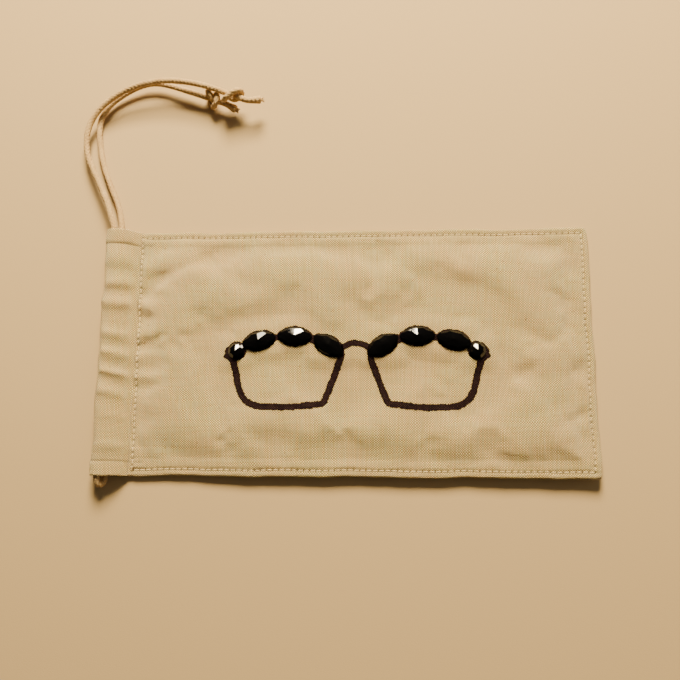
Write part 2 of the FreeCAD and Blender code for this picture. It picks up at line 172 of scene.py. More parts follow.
def apply_modifiers(piece):
    graph = bpy.context.evaluated_depsgraph_get()
    mesh = bpy.data.meshes.new_from_object(piece.evaluated_get(graph))
    piece.modifiers.clear()
    piece.data = mesh


def thicken(piece, thickness):
    """Gives a sheet its thickness on the side that its faces look away from."""
    solidify = piece.modifiers.new("thickness", "SOLIDIFY")
    solidify.thickness = thickness * MM
    solidify.offset = -1
    solidify.use_even_offset = False
    apply_modifiers(piece)


# ---------------------------------------------------------------- shape of the cloth

# The sheet is simulated at ten times its size, where the solver is steady.
SHEET_SCALE = 10
SHEET_STEP = 2.6
SHEET_FRAMES = 26
# A shrink below zero makes the cloth larger than its border, so that it has to wrinkle.
SHEET_SETTINGS = {
    "quality": 5, "mass": 0.3, "vertex_group_mass": "sewn", "shrink_min": -0.028,
    "tension_stiffness": 18, "compression_stiffness": 18, "shear_stiffness": 6,
    "bending_stiffness": 0.9, "use_pressure": True, "uniform_pressure_force": 0.25,
}


def settled_cloth():
    """Height of a cloth that is a little too large for its sewn border, on a regular grid."""
    low = np.array([STITCH_X, -SIDE + TOPSTITCH_INSET])
    high = np.array([CLOSED_END - TOPSTITCH_INSET, SIDE - TOPSTITCH_INSET])
    counts = np.round((high - low) / SHEET_STEP).astype(int) + 1
    xs = np.linspace(low[0], high[0], counts[0])
    ys = np.linspace(low[1], high[1], counts[1])
    x, y = np.meshgrid(xs, ys, indexing="ij")
    edge = np.minimum.reduce([x - low[0], high[0] - x, y - low[1], high[1] - y])
    start = 0.6 * smooth(edge, 0, 16) + 0.12 * random.standard_normal(x.shape) * (edge > 1)
    points = np.stack([x, y, start], axis=-1) * SHEET_SCALE
    sheet = make_piece("cloth_in_work", points, grid_faces(*counts).tolist())
    pinned = sheet.vertex_groups.new(name="sewn")
    border = np.flatnonzero((edge < 0.1).ravel())
    pinned.add(border.tolist(), 1.0, "REPLACE")
    cloth = sheet.modifiers.new("settle", "CLOTH")
    for key, value in SHEET_SETTINGS.items():
        setattr(cloth.settings, key, value)
    cloth.settings.effector_weights.gravity = 0
    cloth.point_cache.frame_end = SHEET_FRAMES
    scene = bpy.context.scene
    for number in range(1, SHEET_FRAMES + 1):
        scene.frame_set(number)
    apply_modifiers(sheet)
    height = (coordinates(sheet)[:, 2] / SHEET_SCALE).reshape(counts)
    bpy.data.objects.remove(sheet)
    scene.frame_set(1)
    return xs, ys, height


def cubic_weights(share):
    """Catmull-Rom weights of the four neighbours of a point."""
    square = share * share
    cube = square * share
    return (
        (-share + 2 * square - cube) / 2,
        (2 - 5 * square + 3 * cube) / 2,
        (share + 4 * square - 3 * cube) / 2,
        (cube - square) / 2,
    )


def between_nodes(xs, ys, table, x, y):
    """Smooth value of a table at scattered points; it is level beyond the table's border."""
    total = np.zeros(np.shape(x))
    column = np.clip((x - xs[0]) / (xs[1] - xs[0]), 0, len(xs) - 1.001)
    row = np.clip((y - ys[0]) / (ys[1] - ys[0]), 0, len(ys) - 1.001)
    first, second = column.astype(int), row.astype(int)
    for i, across in enumerate(cubic_weights(column - first)):
        for j, along in enumerate(cubic_weights(row - second)):
            at_x = np.clip(first + i - 1, 0, len(xs) - 1)
            at_y = np.clip(second + j - 1, 0, len(ys) - 1)
            total += across * along * table[at_x, at_y]
    return total


# Length and height of the sine waves that make up a ripple.
RIPPLES = ((34, 0.5), (21, 0.42), (13, 0.3), (8.5, 0.2), (5.5, 0.12))


def ripple(value, seed, scale=1.0):
    """Smooth irregular wave of about unit height along one direction."""
    phases = np.random.default_rng(seed).uniform(0, 2 * math.pi, len(RIPPLES))
    return sum(
        height * np.sin(2 * math.pi * value / (scale * length) + phase)
        for (length, height), phase in zip(RIPPLES, phases)
    )


# Folds pressed into the cloth: start, end, half width, depth, bow to one side (mm).
FRONT_FOLDS = (
    ((-78, 21), (-42, 39), 3.4, 1.0, 1.5),
    ((-78, 12), (-50, 15), 2.2, 0.4, -1),
    ((-78, 0), (-60, 7), 2.0, 0.45, 1),
    ((-78, -14), (-58, -10), 2.4, 0.35, -1),
    ((-78, -30), (-52, -22), 3.0, 0.35, 2),
    ((-58, 40), (-20, 20), 4.5, 0.4, -3),
    ((-30, 38), (30, 27), 4.0, 0.4, 4),
    ((10, 40), (62, 18), 4.5, 0.45, -4),
    ((-24, -37.5), (94, -38.8), 4.0, 0.35, 0.6),
    ((90, -6), (62, -12), 3.4, 0.7, 1),
    ((84, -13), (52, -30), 3.0, 0.5, 2),
    ((88, -22), (66, -34), 2.2, 0.45, -1),
    ((72, -5), (54, -11), 2.2, 0.45, 0.8),
    ((60, 30), (90, 8), 3.5, 0.35, 2),
    ((-40, -30), (20, -36), 4.0, 0.3, -2),
    ((-22, -4), (-12, -14), 3.0, 0.25, 1),
)
BACK_FOLDS = (
    ((-78, 30), (-40, 12), 3.2, 0.5, 2),
    ((-76, -22), (-30, -34), 3.0, 0.45, -2),
    ((-20, 34), (60, 20), 4.5, 0.4, 5),
    ((88, -10), (30, -28), 3.6, 0.45, -3),
    ((88, 26), (58, 8), 3.0, 0.4, 2),
)


def inset_at(x, y):
    """Distance in from the nearest sewn edge."""
    return np.minimum(CLOSED_END - x, SIDE - np.abs(y))


def folds(x, y, table):
    """Depth of all folds in a table, each of them a groove between two soft ridges."""
    total = np.zeros(np.shape(x))
    for (x0, y0), (x1, y1), width, depth, bow in table:
        length = math.hypot(x1 - x0, y1 - y0)
        cosine, sine = (x1 - x0) / length, (y1 - y0) / length
        along = ((x - x0) * cosine + (y - y0) * sine) / length
        aside = (y - y0) * cosine - (x - x0) * sine - bow * np.sin(math.pi * np.clip(along, 0, 1))
        fade = smooth(along, -0.12, 0.2) * (1 - smooth(along, 0.55, 1.12))
        ridge, far_ridge = bell(aside - 1.9 * width, 1.3 * width), bell(aside + 1.9 * width, 1.3 * width)
        total += depth * fade * (0.45 * ridge - bell(aside, width) + 0.3 * far_ridge)
    return total


PLEAT_WIDTH = 8.6


def pleat(x, y):
    """Soft pleats that the drawn cord leaves across the casing and into the cloth beside it."""
    slant = 0.13 * (x - MOUTH)
    bent = y + slant + 0.9 * np.sin((x - MOUTH) / 5 + y / 11) + 2.1 * ripple(y, 3, 1.5)
    strength = 0.5 + 0.3 * np.sin(y / 15 + 1.2) + 0.2 * smooth(y, -25, 20) + 0.3 * ripple(y, 6, 0.9)
    strength = np.clip(strength, 0.12, 1.15)
    return strength * np.cos(2 * math.pi * bent / PLEAT_WIDTH) + 0.22 * np.sin(bent / 2.1 + x / 6)


def hem_crease(x, y):
    """The turned-in sides of the casing end in a crease that runs a little way into the cloth."""
    short = 1 - smooth(x, HINGE_X + 4, HINGE_X + 6.5)
    return bell(np.abs(y) - (SIDE - ALLOWANCE) - 0.015 * (x - MOUTH), 0.33) * short


def warp(x, y):
    """The outline of the pouch wanders a little, as sewn edges do."""
    near_side = (np.abs(y) / SIDE) ** 6
    near_end = smooth(x, 60, CLOSED_END)
    near_mouth = 1 - smooth(x, MOUTH, MOUTH + 12)
    side_wave = np.where(y > 0, ripple(x, 11, 1.6), ripple(x, 12, 1.6))
    return (
        x - 0.3 * near_end * (0.6 + ripple(y, 13, 1.3)) - 0.35 * near_mouth * ripple(y, 14, 0.9),
        y - 0.28 * np.sign(y) * near_side * (0.8 + side_wave),
    )


ROW_END = CLOSED_END - TOPSTITCH_INSET
ROW_SIDE = SIDE - TOPSTITCH_INSET
ROW_START = EDGE_LOW[0] + HALF_BAR
SIDE_STITCHES = round((ROW_END - ROW_START) / STITCH_PITCH)
END_STITCHES = round(2 * ROW_SIDE / STITCH_PITCH)
SIDE_PITCH = (ROW_END - ROW_START) / SIDE_STITCHES
END_PITCH = 2 * ROW_SIDE / END_STITCHES


def casing_row(y):
    """The row that closes the casing runs a little out of square."""
    return STITCH_X + 0.55 - y / SIDE * 0.62 + 0.06 * ripple(y, 21, 0.7)


def stitch_rows(x, y):
    """Distance along and across each visible row of stitches, and the row's pitch."""
    return (
        (x - ROW_START, np.abs(y) - ROW_SIDE, SIDE_PITCH),
        (y + ROW_SIDE, x - ROW_END, END_PITCH),
        (y, x - casing_row(y), STITCH_PITCH),
    )


def hole_shade(along, across, pitch, width):
    """1 in the middle of each needle hole of a row, 0 on whole cloth."""
    step = along - pitch * np.round(along / pitch)
    return np.exp(-(step**2 + across**2) / width**2)


def row_relief(along, across, pitch):
    """Groove, needle holes and puckers beside a row of stitches."""
    beyond = bell(across, 2.2) - bell(across, 0.5)
    pucker = 0.07 * np.cos(2 * math.pi * along / pitch) * beyond * ripple(along, 5)
    return pucker - 0.42 * hole_shade(along, across, pitch, 0.36) - 0.16 * bell(across, 0.55)


def stitch_relief(x, y):
    sides, end, hem = (row_relief(*row) for row in stitch_rows(x, y))
    beside = smooth(x, ROW_START - 1.2, ROW_START - 0.4)
    within_end = 1 - smooth(x, ROW_END + 0.3, ROW_END + 0.8)
    within_side = 1 - smooth(np.abs(y), ROW_SIDE + 0.3, ROW_SIDE + 0.8)
    return sides * beside * within_end + end * within_side + hem


def needle_holes(x, y):
    """1 in the needle holes of the visible rows, where painted shade darkens them."""
    sides, end, hem = (hole_shade(*row, 0.42) for row in stitch_rows(x, y))
    sides = sides * (x > ROW_START - 0.3) * (x < ROW_END + 0.3)
    end = end * (np.abs(y) < ROW_SIDE + 0.3)
    return np.maximum.reduce([sides, end, hem])


PLACES = ("corner", "outer", "middle", "inner")
STONES = [f"{side}_{place}_stone" for side in ("left", "right") for place in PLACES]


def stones_patch(x, y):
    """1 where stones are glued on, so that the cloth is level there."""
    away = np.full(np.shape(x), 99.0)
    for name in STONES:
        low, high = box_mm(name)
        gaps = (np.maximum(low[0] - x, x - high[0]), np.maximum(low[1] - y, y - high[1]))
        away = np.minimum(away, np.hypot(*np.clip(gaps, 0, None)))
    return 1 - smooth(away, 0.5, 6)


# The settled cloth is used as its height over the mean, with a standard deviation of up to 0.75 mm.
SHEET_XS, SHEET_YS, SHEET_HEIGHT = settled_cloth()
SHEET_HEIGHT = SHEET_HEIGHT - SHEET_HEIGHT.mean()
SHEET_GAIN = 0.75 / max(0.5, SHEET_HEIGHT.std())


def wrinkles(x, y, table, mirror=1):
    """Soft unevenness of one cloth, away from its sewn edges."""
    inset = inset_at(x, y)
    inside = smooth(inset, 1.5, 12) * smooth(x, HINGE_X, HINGE_X + 9)
    settled = SHEET_GAIN * between_nodes(SHEET_XS, SHEET_YS, SHEET_HEIGHT, x, mirror * y)
    reach = 9 + 5 * np.sin(y / 9 + 1)
    fan = 0.4 * pleat(x, y) * np.exp(-np.abs(x - HINGE_X) / reach) * smooth(inset, 1.5, 7)
    near_rim = smooth(inset, 2.4, 4.2)
    tension = 0.11 * ripple(x + 0.4 * y, 31, 0.75) * bell(inset - 5, 3.5)
    return settled * inside + (folds(x, y, table) + tension) * near_rim + fan


def lift(x, y):
    """How far the pouch's edges curl up from the floor."""
    lower = smooth(-y, 24, SIDE) * smooth(x, MOUTH + 14, -20)
    corner = smooth(x, 40, CLOSED_END) * smooth(-y, 10, SIDE)
    return 1.35 * lower + 0.5 * corner + 0.25 * smooth(x, 76, CLOSED_END)


def panel_level(x, y):
    """Level of the front cloth without its wrinkles: low at the seams, high in the middle."""
    inset = inset_at(x, y)
    raised = smooth(inset, 3, 20) * smooth(x, HINGE_X, HINGE_X + 20)
    step = 0.22 * (1 - smooth(inset, ALLOWANCE - 0.3, ALLOWANCE + 0.9)) * smooth(inset, 2.6, 3.6)
    from_seam = y + SIDE
    puff = 0.7 * smooth(from_seam, 3.2, 8.2) * (1 - smooth(from_seam, 11, 34)) * smooth(x, -60, -10)
    return RIM_TOP + (CROWN_TOP - RIM_TOP) * raised + step + puff * smooth(inset, 3, 9)


def front_height(x, y):
    """Height of the front cloth's outer face."""
    loose = 1 - stones_patch(x, y)
    past_hinge = smooth(x, HINGE_X, HINGE_X + 0.6)
    soft = wrinkles(x, y, FRONT_FOLDS)
    soft = 1.15 * np.tanh(1.15 * soft)
    level = panel_level(x, y) + (soft + 0.12 * ripple(x + y, 41, 0.9)) * loose
    level = level + lift(x, y) * loose + stitch_relief(x, y) - 0.3 * hem_crease(x, y)
    return RIM_TOP * (1 - past_hinge) + level * past_hinge


def back_height(x, y):
    """Height of the back cloth's outer face, which lies on the floor in most places."""
    inset = inset_at(x, y)
    soft = 0.45 * wrinkles(x, y, BACK_FOLDS, -1)
    lifted = 0.25 * np.log1p(np.exp(4 * np.clip(soft - 0.1, -9, 9))) * smooth(inset, 1.5, 6)
    level = 0.22 * bell(inset - TOPSTITCH_INSET, 0.7) + lifted + lift(x, y)
    return level - 0.5 * stitch_relief(x, y)


# Rounded edge of the two joined cloths: inset from the outline, and rise from the seam as a share.
EDGE_PROFILE = (
    (0.20, 0.0), (0.03, 0.13), (0.0, 0.33), (0.07, 0.58), (0.24, 0.8), (0.52, 0.94), (0.9, 1.0),
    (1.3, 1.0), (1.85, 1.0),
)


def edge_lines():
    """Insets, rise shares and insets as if unrolled, for the grid lines round an edge."""
    insets, shares = np.array(EDGE_PROFILE).T
    rise = RIM_TOP - MID_HEIGHT
    steps = np.hypot(np.diff(insets), np.diff(shares) * rise)
    still_to_go = np.concatenate([np.cumsum(steps[::-1])[::-1], [0]])
    return insets, shares, insets[-1] - still_to_go


def cloth_lines():
    """Grid lines of a cloth along the pouch and across it: their places, their rise from the seam
    as a share, and their places on the cloth laid out flat."""
    insets, shares, unrolled = edge_lines()
    even_y = np.linspace(-ROW_SIDE, ROW_SIDE, 4 * END_STITCHES + 1)
    ys, flat_ys = (
        np.concatenate([-SIDE + line, even_y, (SIDE - line)[::-1]]) for line in (insets, unrolled)
    )
    y_rise = np.concatenate([shares, np.ones(len(even_y)), shares[::-1]])
    near_hinge = np.arange(HINGE_X, ROW_START - 0.3, 0.27)
    even_x = np.linspace(ROW_START, ROW_END, 4 * SIDE_STITCHES + 1)
    xs, flat_xs = (
        np.concatenate([near_hinge, even_x, (CLOSED_END - line)[::-1]]) for line in (insets, unrolled)
    )
    x_rise = np.concatenate([np.ones(len(near_hinge) + len(even_x)), shares[::-1]])
    return (xs, ys), (x_rise, y_rise), (flat_xs, flat_ys)


CORNER_RADIUS = 2.6


def round_corner(x, y):
    """Draws the square corners at the closed end in to an arc."""
    u = np.clip((x - CLOSED_END) / CORNER_RADIUS + 1, 0, 1)
    v = np.clip((np.abs(y) - SIDE) / CORNER_RADIUS + 1, 0, 1)
    return (
        x - CORNER_RADIUS * u * (1 - np.sqrt(1 - v * v / 2)),
        y - np.sign(y) * CORNER_RADIUS * v * (1 - np.sqrt(1 - u * u / 2)),
    )


def place_on_pouch(x, y):
    """Where a place on the straight-edged pouch comes once its outline is rounded and uneven."""
    return warp(*round_corner(x, y))


def cloth_panel(name, height, seam):
    """One cloth between the hinge line and the closed end; seam is its height at the outline."""
    places, rises, flat_places = cloth_lines()
    x, y = np.meshgrid(*places, indexing="ij")
    rise = np.minimum.outer(*rises)
    z = height(x, y) * rise + (seam + lift(x, y)) * (1 - rise)
    px, py = place_on_pouch(x, y)
    faces = grid_faces(*x.shape)
    if height is back_height:
        faces = faces[:, ::-1]
    piece = make_piece(name, np.stack([px, py, z], axis=-1), faces.tolist())
    set_flat_place(piece, *np.meshgrid(*flat_places, indexing="ij"))
    # Painted shade in the needle holes and along the hem crease.
    set_attribute(piece, "painted_shade", needle_holes(x, y) * 0.9 + hem_crease(x, y) * 0.5)
    return piece


# Cross sections of the casings, from the row of stitches over the cord to the mouth and back:
# distance from the hinge and height above the floor.
FRONT_CASING = (
    (0.0, 2.1), (-0.6, 2.4), (-1.6, 3.15), (-3.0, 4.35), (-5.0, 5.75), (-7.0, 6.7), (-9.0, 7.2),
    (-10.4, 7.15), (-11.5, 6.65), (-12.2, 5.85), (-12.45, 4.95), (-12.15, 4.2), (-11.4, 3.72),
    (-10.0, 3.6), (-8.0, 3.4), (-6.0, 2.85), (-4.0, 2.2), (-2.0, 1.6), (-0.5, 1.25), (0.0, 1.15),
)
BACK_CASING = (
    (0.0, 1.0), (-0.8, 1.1), (-2.0, 1.55), (-4.0, 2.15), (-6.0, 2.85), (-8.0, 3.35), (-9.8, 3.45),
    (-11.2, 3.3), (-12.1, 2.8), (-12.4, 2.05), (-12.3, 1.2), (-11.8, 0.5), (-10.9, 0.12),
    (-9.5, 0.02), (-7.0, 0.0), (-4.0, 0.0), (-1.5, 0.0), (0.0, 0.0),
)


def spline(points, spacing):
    """Even points on a smooth curve through some points."""
    points = np.asarray(points, float)
    padded = np.vstack([2 * points[0] - points[1], points, 2 * points[-1] - points[-2]])
    dense = []
    for index in range(len(points) - 1):
        for share in np.linspace(0, 1, 24, endpoint=False):
            weights = cubic_weights(share)
            dense.append(sum(w * padded[index + k] for k, w in enumerate(weights)))
    dense = np.array([*dense, points[-1]])
    return even(dense, spacing)


def even(points, spacing):
    """The same line with even steps."""
    travel = travelled(points)
    marks = np.linspace(0, travel[-1], max(2, round(travel[-1] / spacing) + 1))
    return np.stack([np.interp(marks, travel, column) for column in points.T], axis=-1)


def casing(name, section, top_share, bottom_share):
    """Tube of cloth round the cord, open at both sides; the shares say how deep its pleats are."""
    line = spline(section, 0.5)
    ys = np.linspace(-SIDE, SIDE, 185)
    share = line[:, 0] / line[:, 0].min()
    along = np.gradient(line, axis=0)
    outward = unit(np.stack([along[:, 1], -along[:, 0]], axis=-1))
    upper = smooth(outward[:, 1], -0.2, 0.6)
    body = smooth(share, 0.0, 0.35) * (1 - smooth(share, 0.8, 1.0))
    level_x, y = np.meshgrid(HINGE_X + line[:, 0], ys, indexing="ij")
    amount = (bottom_share + (top_share - bottom_share) * upper) * body
    relief = 0.62 * amount[:, None] * pleat(level_x, y) * smooth(SIDE - np.abs(ys), 0, 7)
    past_fold = np.abs(ys) - (SIDE - ALLOWANCE)
    doubled = 0.18 * smooth(past_fold, -0.3, 0.7) - 0.32 * bell(past_fold, 0.45)
    relief += top_share * np.outer(upper * smooth(share, 0.0, 0.25), doubled)
    relief += 0.06 * np.outer(upper * body, ripple(ys, 51, 0.6))
    relief = np.where(relief < 0, 0.7 * relief, relief)
    x = level_x + relief * outward[:, :1]
    z = line[:, 1:] + relief * outward[:, 1:]
    px, py = warp(x, y)
    faces = grid_faces(*x.shape)[:, ::-1]
    piece = make_piece(name, np.stack([px, py, z], axis=-1), faces.tolist())
    set_flat_place(piece, HINGE_X - travelled(line)[:, None] + 0 * y, y)
    # Painted shade along the hem crease on the casing's upper face.
    set_attribute(piece, "painted_shade", hem_crease(x, y) * 0.7 * upper[:, None])
    return piece


# How far into the cloth the gathers reach in the middle of the mouth, and how much farther at its
# sides. A pull draws each place of the mouth in by two thirds of its distance from the middle.
GATHER_LENGTH = 27
GATHER_SPREAD = 25
GATHERED_SHARE = 2 / 3


def gather(piece, first, second):
    """Draws a piece in towards the middle of the mouth as the cord is pulled.

    The second body slides towards +Y with the cord. The far side of the mouth goes a share of its
    way, and the near side a share below zero.
    """
    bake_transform(piece, first, second, start=(0, 0, 0), end=(0, MM, 0))
    x, y, _ = coordinates(piece).T
    reach = GATHER_LENGTH + GATHER_SPREAD * (y / SIDE) ** 2
    near = 1 - smooth(x, STITCH_X, STITCH_X + reach)
    set_attribute(piece, "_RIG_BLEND", -y * GATHERED_SHARE / PULL * near)


front_cloth = cloth_panel("front_cloth", front_height, MID_HEIGHT)
back_cloth = cloth_panel("back_cloth", back_height, MID_HEIGHT)
front_casing = casing("front_casing_cloth", FRONT_CASING, 1.0, 0.12)
back_casing = casing("back_casing_cloth", BACK_CASING, 0.12, 0.1)
canvas_pieces = (front_cloth, back_cloth, front_casing, back_casing)
for piece, node in zip(canvas_pieces, ("front_panel", "back_panel", "front_casing", "back_panel")):
    thicken(piece, CLOTH)
    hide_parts(node)
for piece in (front_cloth, back_cloth, back_casing):
    gather(piece, "pouch", "back_run")
gather(front_casing, "front_lip", "front_run")


# ---------------------------------------------------------------- stitches

def tube_mesh(line, radii, sides, lobes=0.0, turns=0.0):
    """Points and faces of a closed tube along a line; lobes and turns give it plies."""
    tangent = unit(np.gradient(line, axis=0))
    side = np.empty_like(line)
    guess = np.array([0.0, 0.0, 1.0]) if abs(tangent[0, 2]) < 0.9 else np.array([1.0, 0.0, 0.0])
    for index, along in enumerate(tangent):
        guess = unit(guess - along * (guess @ along))
        side[index] = guess
    other = np.cross(tangent, side)
    angle = 2 * math.pi * np.arange(sides) / sides
    turned = angle - 2 * math.pi * turns * np.linspace(0, 1, len(line))[:, None]
    radius = radii.reshape(len(line), -1) * (1 + lobes * np.cos(2 * turned))
    ring = side[:, None] * np.cos(angle)[:, None] + other[:, None] * np.sin(angle)[:, None]
    points = (line[:, None] + ring * radius[:, :, None]).reshape(-1, 3)
    faces = grid_faces(len(line), sides, close_columns=True).tolist()
    start, end = len(points), len(points) + 1
    last_ring = len(points) - sides
    for number in range(sides):
        after = (number + 1) % sides
        faces.append([start, number, after])
        faces.append([end, last_ring + after, last_ring + number])
    return np.vstack([points, line[0], line[-1]]), faces


def make_tubes(name, parts):
    """One object from several tubes."""
    faces, count = [], 0
    for part_points, part_faces in parts:
        faces += [[number + count for number in face] for face in part_faces]
        count += len(part_points)
    return make_piece(name, np.vstack([part_points for part_points, _ in parts]), faces)


THREAD_RADIUS = 0.16
# Share of a stitch's length that is out of sight in its needle hole, at each end.
STITCH_GAP = 0.14
TOP_SAG, UNDER_SAG = 0.3, 0.1


def stitches(name, holes, height, facing, sag):
    """A row of single stitches from hole to hole; facing is 1 for the upper face, -1 for the lower."""
    share = np.linspace(0, 1, 9)
    bulge = np.sin(math.pi * share)
    shown = STITCH_GAP + (1 - 2 * STITCH_GAP) * share
    parts = []
    for start, stop in zip(holes, holes[1:]):
        wobble = random.uniform(-0.05, 0.05, 2)
        x = start[0] + (stop[0] - start[0]) * shown + wobble[0] * bulge
        y = start[1] + (stop[1] - start[1]) * shown + wobble[1] * bulge
        px, py = place_on_pouch(x, y)
        middle = height(x[4:5], y[4:5])[0]
        z = middle + facing * ((sag + 0.02) * bulge**0.5 - sag + THREAD_RADIUS)
        line = np.stack([px, py, z], axis=-1)
        parts.append(tube_mesh(line, THREAD_RADIUS * (0.8 + 0.2 * bulge), 8, 0.1, 1.1))
    return make_tubes(name, parts)


def three_sides(xs, ys, side, end):
    """Holes along the lower side, the closed end and the upper side."""
    return [(x, -side) for x in xs] + [(end, y) for y in ys] + [(x, side) for x in xs[::-1]]


def edge_holes():
    xs = ROW_START + SIDE_PITCH * np.arange(SIDE_STITCHES + 1)
    ys = -ROW_SIDE + END_PITCH * np.arange(1, END_STITCHES)
    return three_sides(xs, ys, ROW_SIDE, ROW_END)


def seam_holes():
    side, end = SIDE - SEAM_INSET, CLOSED_END - SEAM_INSET
    return three_sides(
        np.arange(ROW_START, end, STITCH_PITCH), np.arange(-side, side, STITCH_PITCH), side, end)


def hem_holes():
    count = int((SIDE - 1) / STITCH_PITCH)
    ys = STITCH_PITCH * np.arange(-count, count + 1)
    return [(casing_row(y), y) for y in ys]


def level_at(z):
    return lambda x, y: z + lift(x, y)


# Levels that the threads lie at: in the groove under the back cloth, and inside each hem.
UNDER_LEVEL = 0.34
BACK_HEM_INSIDE, FRONT_HEM_INSIDE = 0.85, 1.25
# The hidden seam that joins the cloths is this far in from the outline.
SEAM_INSET = 0.9
# Piece, node, holes, level of the cloth's face, and the side that the stitches stand out to.
THREADS = (
    ("edge_top_stitches", "edge_needle_thread", edge_holes(), front_height, 1),
    ("edge_under_stitches", "edge_bobbin_thread", edge_holes(), level_at(UNDER_LEVEL), -1),
    ("inner_seam_stitches", "joining_seam_thread", seam_holes(), level_at(MID_HEIGHT - 0.1), 1),
    ("hem_top_stitches", "front_casing_needle_thread", hem_holes(), front_height, 1),
    ("hem_inner_stitches", "front_casing_bobbin_thread", hem_holes(), level_at(FRONT_HEM_INSIDE), -1),
    ("back_hem_under_stitches", "back_casing_needle_thread", hem_holes(), level_at(UNDER_LEVEL), -1),
    ("back_hem_inner_stitches", "back_casing_bobbin_thread", hem_holes(), level_at(BACK_HEM_INSIDE), 1),
)
thread_pieces = []
for name, node, holes, height, facing in THREADS:
    piece = stitches(name, holes, height, facing, TOP_SAG if height is front_height else UNDER_SAG)
    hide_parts(node)
    gather(piece, "pouch", "back_run")
    thread_pieces.append(piece)


# ---------------------------------------------------------------- ink

INK_CELL = 0.22
INK_WIDTH = 2.5
INK_THICKNESS = 0.05
INK_RISE = 0.075
# How far the ink shows round a stone, and the width of its line between two stones.
STONE_MARGIN = 0.6
TIP_LINE = 1.7
MOTIF_TOP = box_mm("left_middle_stone")[1][1] + 2


def distance_to_path(x, y, path):
    """Distance from points to the nearest of a path's straight stretches."""
    nearest = np.full(np.shape(x), 1e9)
    for (x0, y0), (x1, y1) in zip(path, path[1:]):
        length = (x1 - x0) ** 2 + (y1 - y0) ** 2
        share = np.clip(((x - x0) * (x1 - x0) + (y - y0) * (y1 - y0)) / length, 0, 1)
        away = np.hypot(x - x0 - share * (x1 - x0), y - y0 - share * (y1 - y0))
        nearest = np.minimum(nearest, away)
    return nearest


def thread_noise(x, y):
    """Uneven edge that follows single threads of the weave, from a sine's far decimals."""
    step = 0.5
    across = np.sin(np.floor(x / step) * 12.9898 + 4.1) * 43758.5453
    along = np.sin(np.floor(y / step) * 78.233 + 1.7) * 24634.6345
    return across % 1 + along % 1 - 1


def ink_film(name, node, path, width, blots=(), stones=()):
    """Film of ink on the cloth, with an edge as uneven as the weave.

    Blots are round spots, as x, y and radius. The ink also shows round stones and between them.
    """
    low, high = path.min(axis=0) - 3, path.max(axis=0) + 3
    xs = np.arange(low[0], high[0], INK_CELL)
    ys = np.arange(low[1], max(high[1], MOTIF_TOP), INK_CELL)
    x, y = np.meshgrid(xs, ys, indexing="ij")
    middle_x, middle_y = x[:-1, :-1] + INK_CELL / 2, y[:-1, :-1] + INK_CELL / 2
    uneven = 0.16 * thread_noise(middle_x, middle_y) + 0.12 * ripple(middle_x * 1.7 + middle_y, 61, 0.3)
    inside = distance_to_path(middle_x, middle_y, path) < width / 2 + uneven
    for blot_x, blot_y, radius in blots:
        inside |= np.hypot(middle_x - blot_x, middle_y - blot_y) < radius + uneven
    for stone in stones:
        inside |= near_stone(middle_x, middle_y, stone, STONE_MARGIN + uneven)
    for first, second in zip(stones, stones[1:]):
        tips = distance_to_path(middle_x, middle_y, (first[0], second[0]))
        inside |= tips < TIP_LINE / 2 + uneven
    faces = grid_faces(*x.shape)[inside.ravel()]
    used, faces = np.unique(faces, return_inverse=True)
    x, y = x.ravel()[used], y.ravel()[used]
    points = np.stack([*place_on_pouch(x, y), front_height(x, y) + INK_RISE], axis=-1)
    piece = make_piece(name, points, faces.reshape(-1, 4).tolist())
    set_flat_place(piece, x, y)
    thicken(piece, INK_THICKNESS)
    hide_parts(node)
    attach(piece, "pouch")
    return piece


def stone_place(name):
    """Middle, half length, half width and tilt of a stone, from its own corners."""
    points = coordinates(frame["nodes"][name])[:, :2]
    middle = (points.min(axis=0) + points.max(axis=0)) / 2
    spread = points - middle
    angles = np.radians(np.arange(0, 180, 1.0))
    across = np.abs(spread @ np.stack([np.cos(angles), np.sin(angles)])).max(axis=0)
    tilt = angles[across.argmax()]
    return middle, across.max(), across.min(), tilt


def near_stone(x, y, stone, margin):
    """Whether points are inside a stone's pointed oval, grown by a margin."""
    middle, long, short, tilt = stone
    along = (x - middle[0]) * math.cos(tilt) + (y - middle[1]) * math.sin(tilt)
    aside = (y - middle[1]) * math.cos(tilt) - (x - middle[0]) * math.sin(tilt)
    bow = (long**2 + short**2) / (2 * short)
    return np.hypot(along, np.abs(aside) + bow - short) < bow + margin


def corner_round(points, radii):
    """Line through points with its inner corners rounded."""
    line = [points[0]]
    for before, corner, after, radius in zip(points, points[1:], points[2:], radii):
        into, out = unit(corner - before), unit(after - corner)
        reach = radius * math.tan(math.acos(float(into @ out)) / 2)
        first, last = corner - into * reach, corner + out * reach
        for share in np.linspace(0, 1, 7):
            line.append((1 - share) ** 2 * first + 2 * share * (1 - share) * corner + share**2 * last)
    return np.array([*line, points[-1]])


MOTIF_X = (box_mm("left_rim_ink")[0][0] + box_mm("right_rim_ink")[1][0]) / 2
RIM_LOW = box_mm("left_rim_ink")[0][1] + INK_WIDTH / 2
CORNER_X, CORNER_Y = sum(box_mm("right_corner_stone"))[:2] / 2 - (MOTIF_X, 0)
# The right rim from the bridge to its outer corner, as distance from the middle of the drawing and y.
RIM = (
    (5.3, -3.0), (6.0, -5.0), (11.6, RIM_LOW + 1.3), (24, RIM_LOW - 0.1),
    (40.8, RIM_LOW + 0.4), (44.9, CORNER_Y - 3.4), (CORNER_X + 3.4, CORNER_Y - 1.6),
)
RIM_CORNERS = (2, 1.8, 40, 9.5, 2)
